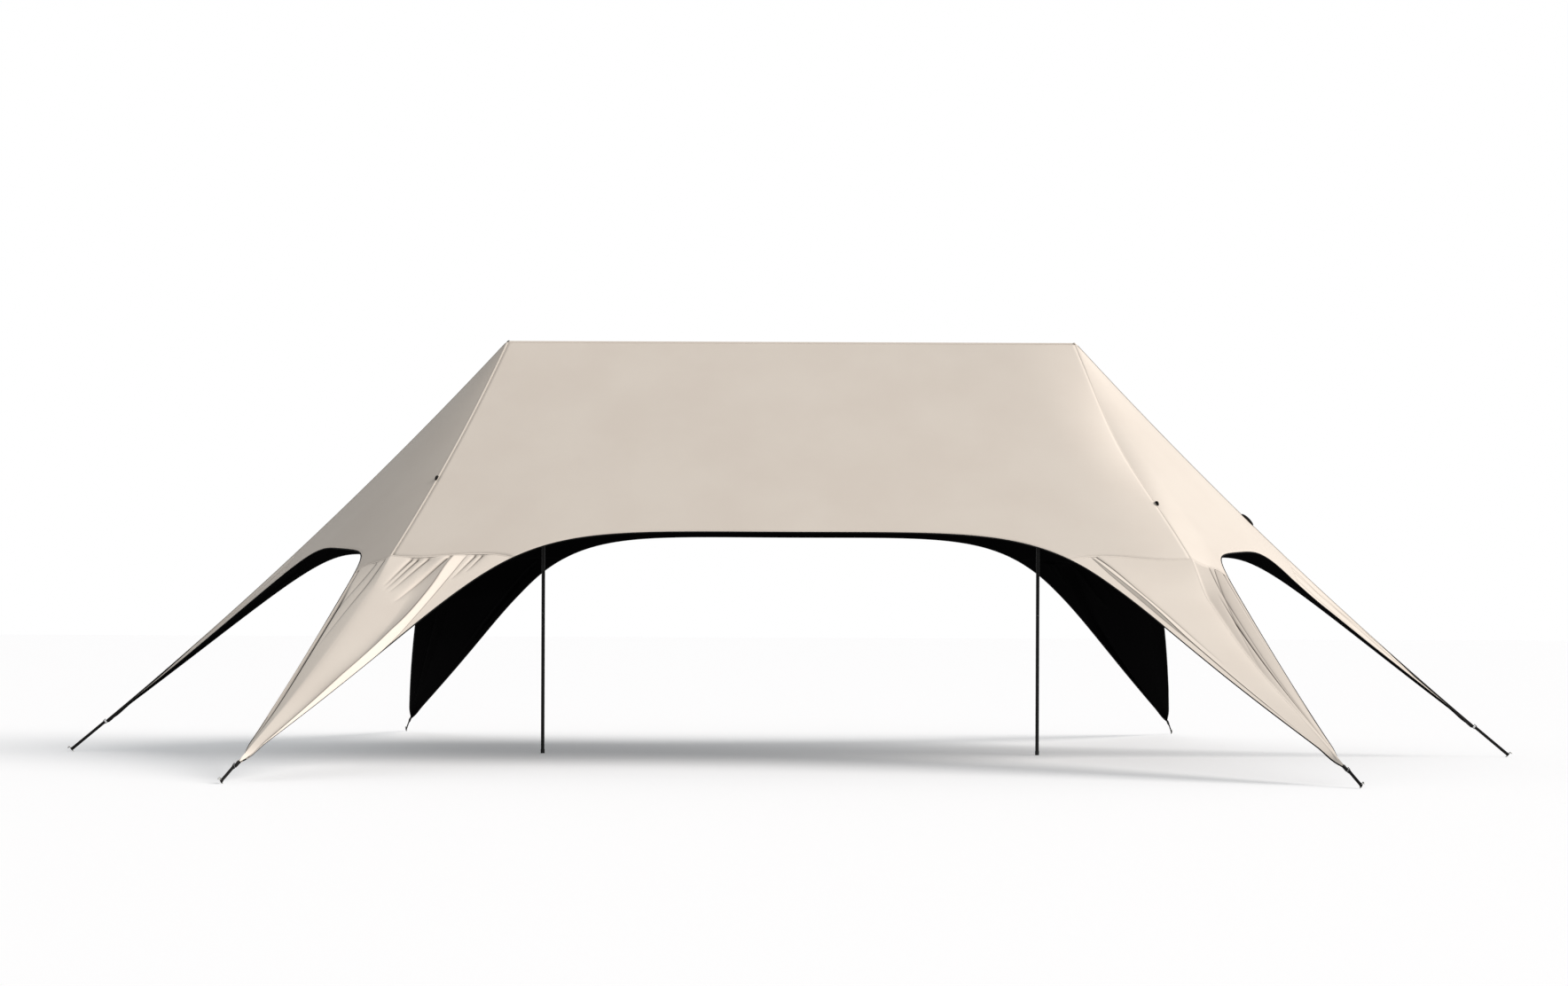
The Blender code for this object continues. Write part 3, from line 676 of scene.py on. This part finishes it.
styles = {
    "front_left": "gathered",
    "front_right": "pleated",
    "right": "plain",
    "back_right": "gathered",
    "back_left": "pleated",
    "left": "plain",
}
gore_grids = {}
for leg in legs:
    (first, first_shade), (second, second_shade) = leg_halves(leg, styles[leg.name])
    gore_grids[leg.name] = first if leg.before.is_gore else second
    grid = np.concatenate([first[:, :0:-1], second], axis=1)
    line = np.concatenate([first_shade[:, :0:-1], second_shade], axis=1)
    # Painted light: the front left leg gets none of the painted shade of the other legs, so it is lighter;
    # the fold lines add painted shade.
    shade = 0.0 if leg.name == "front_left" else LEG_SHADE
    obj = cloth(f"{leg.name}_leg_cloth", grid, shade + (1 - shade) * line)
    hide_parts(f"{leg.name}_leg")

# SEAMS: the panels are felled together along the ridge and the six hips, which leaves a low strip of
# doubled cloth with a row of stitches on each side, brown ones or, on the softer hips of the right, beige.
# Narrower ones join the legs to the panels and hem two of the legs beside their smaller archway.
THREAD = 0.0014
brown_thread = grained("brown_thread", (0.180, 0.145, 0.120), 0.75, 900)
beige_thread = grained("beige_thread", (0.600, 0.540, 0.470), 0.75, 900)
# Half the width and the height of each kind of seam, and a hip's height, share of painted shade and thread.
RIDGE_SEAM = (0.018, 0.0016)
HIP_SEAM = 0.0110
CRISP_HIP = (0.0018, LEG_SHADE, brown_thread)
# The slack hips' strips have less painted shade, which is painted light there.
SLACK_HIP = (0.0007, 0.110, beige_thread)
CROSS_SEAM = (0.0075, 0.0006)
HEM = (0.0075, 0.0015)
# The cross seams end under the binding, and the hems lie at this share of the half's width.
CROSS_END = 0.986
HEM_PLACE = 0.94


def square_to(line, near):
    """Unit vectors from a line towards points near it, square to the way the line goes."""
    way = unit(np.gradient(line, axis=0))
    across = near - line
    return way, unit(across - (across * way).sum(-1, keepdims=True) * way)


def felled(line, left, right, half, height):
    """A closed strip over the line where two faces meet, and the two paths that its stitches take.

    left and right are points of each face close by. The ring lies on both faces, half wide to each
    side and one height above them, with a small roll over the line itself, and it shows underneath.
    """
    way, to_left = square_to(line, left)
    _, to_right = square_to(line, right)
    up_left, up_right = np.cross(to_left, way), np.cross(way, to_right)
    up = unit(up_left + up_right)
    half = np.broadcast_to(half, len(line))[:, None]
    ring = [
        line + to_right * half - up_right * 0.0003,
        line + to_right * (half - 0.0006) + up_right * height * 0.8,
        line + to_right * half * 0.45 + up_right * height,
        line + to_right * half * 0.18 + up_right * height * 1.5,
        line + up * height * 1.7,
        line + to_left * half * 0.18 + up_left * height * 1.5,
        line + to_left * half * 0.45 + up_left * height,
        line + to_left * (half - 0.0006) + up_left * height * 0.8,
        line + to_left * half - up_left * 0.0003,
        line + to_left * half * 0.9 - up_left * (CLOTH + 0.0007),
        line - up * (CLOTH + 0.0009),
        line + to_right * half * 0.9 - up_right * (CLOTH + 0.0007),
    ]
    paths = [
        (line + to_left * half * 0.72 + up_left * height, up_left),
        (line + to_right * half * 0.72 + up_right * height, up_right),
    ]
    return np.stack(ring, axis=1), paths


def stitched(path, up, pitch=0.008, stitch=0.0056, thread=THREAD):
    """A row of stitches: at each, two ends in the cloth and a low ring of three points between."""
    run = lengths(path[None], 1)[0]
    middle = (np.arange(max(int(run[-1] / pitch), 1)) + 0.5) * pitch
    at, start, end = (
        np.stack([np.interp(middle + d * stitch / 2, run, path[:, k]) for k in range(3)], axis=-1)
        for d in (0, -1, 1)
    )
    up = unit(np.stack([np.interp(middle, run, up[:, k]) for k in range(3)], axis=-1))
    right = unit(np.cross(up, end - start)) * thread / 2
    sunk = up * thread * 0.35
    points = np.stack([start - sunk, at + right, at + up * thread * 0.6, at - right, end - sunk], axis=1)
    faces = np.array([(2, 1, 0), (3, 2, 0), (1, 3, 0), (1, 2, 4), (2, 3, 4), (3, 1, 4)])
    return points, (faces[None] + 5 * np.arange(len(middle))[:, None, None]).reshape(-1, 3).tolist()


def seam(name, line, left, right, half, height, shade=LEG_SHADE, thread=brown_thread):
    """The strip of a felled seam and its two rows of stitches, as two pieces."""
    grid, paths = felled(line, left, right, half, height)
    points, faces = rings(grid)
    strip = piece(f"{name}_seam", points, faces, beige, coating, sharp=50)
    # Of the twelve faces of each ring the last four lie under the cloth, where it is black.
    inside = np.arange(len(faces)) % grid.shape[1] >= 8
    strip.data.polygons.foreach_set("material_index", inside.astype(int).tolist())
    # Painted shade on the strip, to suit the cloth beside it.
    paint_shade(strip, shade)
    weave_map(strip, unrolled(grid))
    rows = piece(f"{name}_stitches", *joined(*[stitched(*path) for path in paths]), thread)


def hip_line(leg, v):
    """The line of a hip, and two lines close beside it: on the panel before it and the one after."""
    return leg.after.point(0, v), leg.before.point(0.998, v), leg.after.point(0.002, v)


front, back = panels[0], panels[3]
u = np.linspace(0.001, 0.999, 400)
sides = front.point(u, 0.004), back.point(1 - u, 0.004)
# The ridge's strip takes the front panel's painted shade.
seam("ridge", front.point(u, 0), *sides, *RIDGE_SEAM, PANEL_SHADE["front"])
for leg in legs:
    gathered = styles[leg.name] == "gathered"
    v = np.linspace(0.003, LEG_START if gathered else leg.last - 0.001, 600)
    line, *sides = hip_line(leg, v)
    edge = leg.after.point(LEG_EDGE * np.clip((1 - v) / (1 - LEG_START), 0, 1), 1.0)
    half = np.minimum(HIP_SEAM, 0.3 * np.linalg.norm(edge - line, axis=-1))
    seam(f"{leg.name}_hip", line, *sides, half, *(SLACK_HIP if leg.slack else CRISP_HIP))
    if gathered:
        grid = gore_grids[leg.name][4 : LEG_ROWS - 6]
        column = round(HEM_PLACE * (grid.shape[1] - 1))
        line = grid[:, column]
        room = np.linalg.norm(grid[:, -1] - line, axis=-1)
        half = np.clip(room - 0.010, 0.0015, HEM[0])
        seam(f"{leg.name}_hem", line, grid[:, column + 1], grid[:, column - 1], half, HEM[1])
    t = np.linspace(0, CROSS_END, 160)
    u, v = t * LEG_EDGE, (1 - t) * LEG_START + t
    line, up, down = (
        np.concatenate([leg.before.point(1 - u, v + d)[:0:-1], leg.after.point(u, v + d)])
        for d in (0, -0.002, 0.002)
    )
    seam(f"{leg.name}_cross", line, down, up, *CROSS_SEAM)

# BINDING: black tape, 10 mm wide when folded, is sewn over every free edge: round each of the six
# archways from leg end to leg end. All hips but the left one carry a black webbing tab for a guy line.
# The two that run to the side legs have a thin grey piping and, low down, a wide band of webbing.
TAPE = 0.0095
# Each tab's place on its hip and half its length, as shares of the hip, and how far it stands out.
FRONT_LEFT_TAB = (0.328, 0.0042, 0.0190)
FRONT_RIGHT_TAB = (0.377, 0.0042, 0.0190)
TABS = {
    "front_left": FRONT_LEFT_TAB,
    "front_right": FRONT_RIGHT_TAB,
    "right": (0.432, 0.0140, 0.0210),
    "back_right": FRONT_RIGHT_TAB,
    "back_left": FRONT_LEFT_TAB,
}
TAB_WIDTH = 0.013
TAB_ROOT = 0.0035
# Half the width of the wide band, which starts at this share of a side leg's length, and its height.
BAND_START = 0.46
BAND = (0.026, 0.0030)
# The piping's width and thickness, and the height of its middle over the hip.
PIPING = (0.0036, 0.0034)
PIPING_HEIGHT = 0.0038
grey_piping = grained("grey_piping", (0.080, 0.076, 0.068), 0.8, 500)


def webbing():
    """Black woven tape: fine ribs across it in the bump and the colour, from its own map."""
    tape = Finish("black_webbing")
    rib = tape.wave("DIAGONAL", 190, 0.6)
    return tape.shaded(
        {
            "Base Color": tape.ramp(rib, (0.0040, 0.0038, 0.0036), (0.0130, 0.0125, 0.0120)),
            "Normal": tape.relief(rib, 0.35, 0.0004),
            "Roughness": 0.85,
            "Specular IOR Level": 0.15,
        }
    )


black_webbing = webbing()


def web(name, grid, faces):
    """A piece of black webbing or tape, with the map that its ribs follow."""
    obj = piece(name, grid, faces, black_webbing, sharp=50)
    weave_map(obj, unrolled(grid))
    return obj


for panel in panels:
    first, last = (LEG_EDGE * (1 - leg.end) for leg in (panel.left, panel.right))
    u = np.linspace(first, 1 - last, 500)
    edge, out = panel.point(u, 1.0), panel.normal(u, 1.0)
    inward = unit(np.cross(out, unit(np.gradient(edge, axis=0))))
    ends = [leg.hip(leg.last) for leg in (panel.left, panel.right)]
    nearest = np.min([np.linalg.norm(edge - end, axis=-1) for end in ends], axis=0)
    wide = np.minimum(TAPE, 0.4 * (nearest + 0.012))[:, None]
    ring = [
        edge + inward * wide + out * 0.0002,
        edge + inward * (wide - 0.0005) + out * 0.0009,
        edge + inward * 0.0010 + out * 0.0011,
        edge - inward * 0.0010 + out * 0.0003,
        edge - inward * 0.0012 - out * (CLOTH + 0.0002),
        edge + inward * 0.0010 - out * (CLOTH + 0.0011),
        edge + inward * (wide - 0.0005) - out * (CLOTH + 0.0009),
        edge + inward * wide - out * (CLOTH + 0.0002),
    ]
    web(f"{panel.name}_binding", *rings(np.stack(ring, axis=1)))


def woven_band(path, out, width, thickness, closed=False):
    """A flat band along a path: a rounded ring of eight points, thick along out and wide across it.

    The thickness may change along the path.
    """
    if closed:
        way = unit(np.roll(path, -1, axis=0) - np.roll(path, 1, axis=0))
    else:
        way = unit(np.gradient(path, axis=0))
    out = unit(out - (out * way).sum(-1, keepdims=True) * way)
    side = np.cross(way, out)
    h = np.broadcast_to(thickness, len(path))[:, None] / 2
    w, r = width / 2, np.minimum(h * 0.7, 0.001)
    corners = [(h, -w + r), (h, w - r), (h - r, w), (r - h, w)]
    corners += [(-h, w - r), (-h, r - w), (r - h, -w), (h - r, -w)]
    grid = np.stack([path + out * a + side * b for a, b in corners], axis=1)
    if not closed:
        return rings(grid)
    index = np.arange(grid.size // 3).reshape(grid.shape[:2])
    ahead, below = np.roll(index, -1, axis=1), np.roll(index, -1, axis=0)
    wall = np.stack([index, ahead, np.roll(below, -1, axis=1), below], axis=-1).reshape(-1, 4)
    return grid, wall.tolist()


def hip_out(leg, v):
    """The way that a hip faces: halfway between the normals of the panels beside it."""
    return unit(leg.after.normal(0.001, v) + leg.before.normal(0.999, v))


for leg in legs:
    if leg.name in TABS:
        middle, reach, height = TABS[leg.name]
        along = np.linspace(-1, 1, 40)
        v = middle + along * reach
        out = hip_out(leg, v)
        stands = TAB_ROOT + height * np.sqrt(1 - along**2)
        path = leg.after.point(0, v) + out * stands[:, None] / 2
        web(f"{leg.name}_guy_tab", *woven_band(path, out, TAB_WIDTH, stands))
    if leg.eye[1] == 0:
        v = np.linspace(0.006, leg.last - 0.002, 500)
        out = hip_out(leg, v)
        points, faces = woven_band(leg.after.point(0, v) + out * PIPING_HEIGHT, out, *PIPING)
        piping = piece(f"{leg.name}_hip_piping", points, faces, grey_piping, sharp=80)
        v = np.linspace(LEG_START + BAND_START * (1 - LEG_START), leg.last - 0.001, 200)
        half = BAND[0] * np.clip((v - v[0]) / 0.10, 0.06, 1)
        grid, _ = felled(*hip_line(leg, v), half, BAND[1])
        web(f"{leg.name}_ridge_webbing", *rings(grid))

# LEG ENDS: the folded tip of each leg is sewn between black webbing, which holds a plastic buckle. A loop
# of the same webbing stands on edge and runs from the buckle round a zinc-plated peg with a hooked head.
PLY = 0.0016
CLEARANCE = 0.0003
STRAP_WIDTH = 0.025
# The tip's webbing: its width, how far it reaches over the leg, the gap that it leaves to each side for
# the folded cloth, and how far its middle lies below the strap's.
TIP_WIDTH = 0.024
TIP_REACH = 0.050
TIP_OPEN = 0.0050
TIP_BELOW = 0.009
# Pitch, length and thickness of the stitches that hold the tip, and of those across the strap.
TIP_TACK = (0.0045, 0.0032, 0.0011)
STRAP_TACK = (0.0036, 0.0030, 0.0011)
PEG = 0.005
HOOK = 0.010
SHANK = 0.046
# The buckle: how thick its bars are, where they start and end along the strap, and its rails beside it.
BAR = 0.004
BARS = (0.0, 0.004, 0.011, 0.015, 0.022, 0.026)
RAILS = (-0.018, -0.014, 0.014, 0.018)
grey_thread = grained("grey_thread", (0.035, 0.034, 0.033), 0.75, 900)


def turn_round(radius, sign):
    """Three quarters of a turn round a bar at the origin, from above it to below, by way of sign * X."""
    turn = np.radians(np.linspace(50, 310, 28))
    return np.stack([-sign * radius * np.cos(turn), radius * np.sin(turn)], axis=-1)


def ply(start, end, rest, ease=0.020):
    """A run along X that leaves each end's height smoothly for the height at which the plies rest."""
    x = np.linspace(start[0], end[0], 40)[1:-1]
    length = np.abs(end[0] - start[0])
    ease = min(ease, length / 2)
    first, last = (eased(np.clip(1 - np.abs(x - e[0]) / ease, 0, 1)) for e in (start, end))
    y = rest + (start[1] - rest) * first + (end[1] - rest) * last
    return np.stack([x, y], axis=-1)


for leg in legs:
    axes = np.stack([leg.along, leg.level, leg.rise])
    end = np.linalg.norm(leg.hip(leg.last) - leg.eye)
    start = end - BARS[-1] - CLEARANCE

    def placed(local, z=0.0):
        """Points given along and beside the strap, put in place at the peg's eye."""
        local = np.asarray(local, float)
        height = np.broadcast_to(z, local.shape[:-1])[..., None]
        return leg.eye + np.concatenate([local, height], axis=-1) @ axes

    bar = math.hypot(BAR / 2, BAR / 2) + CLEARANCE + PLY / 2
    at_peg = turn_round(PEG + CLEARANCE + PLY / 2, -1)
    at_bar = turn_round(bar, 1)[::-1] + (start + BAR / 2, 0)
    rest = PLY * 0.65
    there, back = ply(at_peg[-1], at_bar[0], -rest), ply(at_bar[-1], at_peg[0], rest)
    path = placed(np.concatenate([at_peg, there, at_bar, back]))
    way = unit(np.roll(path, -1, axis=0) - np.roll(path, 1, axis=0))
    loop = woven_band(path, np.cross(leg.rise, way), STRAP_WIDTH, PLY, closed=True)
    strap = web(f"{leg.name}_strap_webbing", *loop)
    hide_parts(f"{leg.name}_strap")

    far = turn_round(bar, -1) + (end - BAR / 2 - CLEARANCE, 0)
    reach = end + TIP_REACH
    there = ply((reach, TIP_OPEN), far[0], TIP_OPEN, 0.012)
    back = ply(far[-1], (reach, -TIP_OPEN), -TIP_OPEN, 0.012)
    path = placed(np.concatenate([there, far, back]), -TIP_BELOW)
    way = unit(np.gradient(path, axis=0))
    web(f"{leg.name}_tip_webbing", *woven_band(path, np.cross(leg.rise, way), TIP_WIDTH, PLY))

    tacks = []
    along = np.linspace(end + 0.008, reach - 0.004, 20)
    for side in (-1, 1):
        level = side * leg.level
        for z in (-TIP_BELOW - 0.009, -TIP_BELOW + 0.009):
            row = placed(np.stack([along, np.full(20, side * (TIP_OPEN + 0.0009))], axis=-1), z)
            tacks.append(stitched(row, np.tile(level, (20, 1)), *TIP_TACK))
        for x in np.linspace(start - 0.014, start - 0.024, 4):
            row = placed(np.full((8, 2), (x, side * (rest + PLY / 2))), np.linspace(-0.010, 0.010, 8))
            tacks.append(stitched(row, np.tile(level, (8, 1)), *STRAP_TACK))
    tack = piece(f"{leg.name}_tacks", *joined(*tacks), grey_thread)

    corners = [placed((start + x, 0.0), z) for x in BARS for z in RAILS]
    faces = [
        (4 * row + k, 4 * row + k + 1, 4 * row + k + 5, 4 * row + k + 4)
        for row in range(len(BARS) - 1)
        for k in range(3)
        if not (k == 1 and row in (1, 3))
    ]
    buckle = piece(f"{leg.name}_ladder_buckle", corners, faces, black_plastic, sharp=60)
    thick = buckle.modifiers.new("frame", "SOLIDIFY")
    thick.thickness = BAR
    thick.offset = 0
    round_off = buckle.modifiers.new("edges", "BEVEL")
    round_off.width = 0.0009
    round_off.segments = 3
    round_off.limit_method = "ANGLE"
    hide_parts(f"{leg.name}_buckle")

    foot = leg.eye - leg.rise * STRAP_HEIGHT / leg.rise[2]
    shoulder = foot + leg.rise * SHANK
    bend = np.radians(np.linspace(0, 150, 24))[:, None]
    hook = shoulder - leg.along * HOOK * (1 - np.cos(bend)) + leg.rise * HOOK * np.sin(bend)
    way = np.concatenate([np.tile(leg.rise, (3, 1)), leg.rise * np.cos(bend) - leg.along * np.sin(bend)])
    path = np.concatenate([[foot, foot + leg.rise * 0.01, foot + leg.rise * 0.03], hook])
    radius = np.full(len(path), PEG)
    path = np.concatenate([path, path[-1] + way[-1:] * np.array([[0.0], [0.0004], [0.0008]])])
    radius = np.concatenate([radius, [PEG * 0.98, PEG * 0.88, PEG * 0.6]])
    way = np.concatenate([way, np.tile(way[-1], (3, 1))])
    turn = np.linspace(0, 2 * math.pi, 24, endpoint=False)[None, :, None]
    spoke = np.cos(turn) * leg.level + np.sin(turn) * np.cross(way, leg.level)[:, None]
    grid = path[:, None] + radius[:, None, None] * spoke
    grid[0] -= leg.rise * (grid[0][:, 2:] / leg.rise[2])
    pin = piece(f"{leg.name}_hooked_peg", *rings(grid), zinc)
    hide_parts(f"{leg.name}_peg")

# PEAKS: a low cap is sewn over the corner where the panels meet and takes the end of the ridge pole. It
# is black plastic on the left, and on the right it is covered with a patch of the beige cloth.
PEAK_TILT = 0.75
# Painted shade on the peaks' pieces, close to that of the panels round them.
PEAK_SHADE = 0.160

for name, side, finish, slot in (
    ("left_peak_cap", -1, black_plastic, "black_plastic"),
    ("right_peak_patch", 1, beige, "beige_fabric"),
):
    peak = np.array([side * PEAK_X, 0.0, RIDGE_HEIGHT])
    axis = unit(np.array([side * PEAK_TILT, 0.0, 1.0]))
    dome = [
        (0.0150, -0.0075),
        (0.0150, -0.0055),
        (0.0137, -0.0025),
        (0.0100, 0.0003),
        (0.0050, 0.0016),
        (0.0015, 0.0019),
    ]
    points, faces = turned(dome, peak, axis)
    cap = piece(name, points, faces, finish)
    weave_map(cap, points[..., :2])
    paint_shade(cap, PEAK_SHADE)

# CAMERA, LIGHT AND FLOOR: the photo's eye-level view from the front, in a white studio. The camera's
# place and its slight roll were fitted to the peaks, the feet of the poles and the ends of the legs.
CAMERA_PLACE = (-0.054, -18.5, 1.112)
CAMERA_ROLL = -0.004
FLOOR_REACH = 150

camera = bpy.data.cameras.new("camera")
camera.lens = 50
camera.sensor_width = 36
camera.shift_y = 0.0831
camera_object = bpy.data.objects.new("camera", camera)
camera_object.location = CAMERA_PLACE
camera_object.rotation_euler = (math.pi / 2, CAMERA_ROLL, 0)
bpy.context.scene.collection.objects.link(camera_object)
bpy.context.scene.camera = camera_object

white_floor = Finish("white_floor").shaded(
    {
        "Base Color": (0.9, 0.9, 0.9, 1),
        "Roughness": 0.9,
        "Emission Color": (1, 1, 1, 1),
        "Emission Strength": 0.16,
    }
)
mesh = bpy.data.meshes.new("floor")
corners = [(x * FLOOR_REACH, y * FLOOR_REACH, 0) for x, y in ((-1, -1), (1, -1), (1, 1), (-1, 1))]
mesh.from_pydata(corners, [], [(0, 1, 2, 3)])
mesh.materials.append(white_floor)
floor = bpy.data.objects.new("floor", mesh)
bpy.context.scene.collection.objects.link(floor)

world = bpy.data.worlds.new("studio")
world.use_nodes = True
nodes, links = world.node_tree.nodes, world.node_tree.links
seen = nodes.new("ShaderNodeBackground")
seen.inputs["Color"].default_value = (1, 1, 1, 1)
light_path = nodes.new("ShaderNodeLightPath")
choice = nodes.new("ShaderNodeMixShader")
nodes["Background"].inputs["Color"].default_value = (0.94, 0.97, 1.0, 1)
nodes["Background"].inputs["Strength"].default_value = 0.455
links.new(light_path.outputs["Is Camera Ray"], choice.inputs[0])
links.new(nodes["Background"].outputs[0], choice.inputs[1])
links.new(seen.outputs[0], choice.inputs[2])
links.new(choice.outputs[0], nodes["World Output"].inputs["Surface"])
bpy.context.scene.world = world


def sun(name, direction, strength, spread, colour):
    """A soft light from far away, shining along a direction."""
    light = bpy.data.lights.new(name, "SUN")
    light.energy = strength
    light.angle = math.radians(spread)
    light.color = colour
    obj = bpy.data.objects.new(name, light)
    back = -unit(np.asarray(direction, float))
    across = unit(np.cross(UP, back))
    obj.matrix_world = Matrix(np.stack([across, np.cross(back, across), back], axis=1)).to_4x4()
    bpy.context.scene.collection.objects.link(obj)


sun("key", (-0.786, 0.20, -0.50), 3.05, 35, (1.0, 0.962, 0.938))

bpy.context.scene.view_settings.view_transform = "Standard"
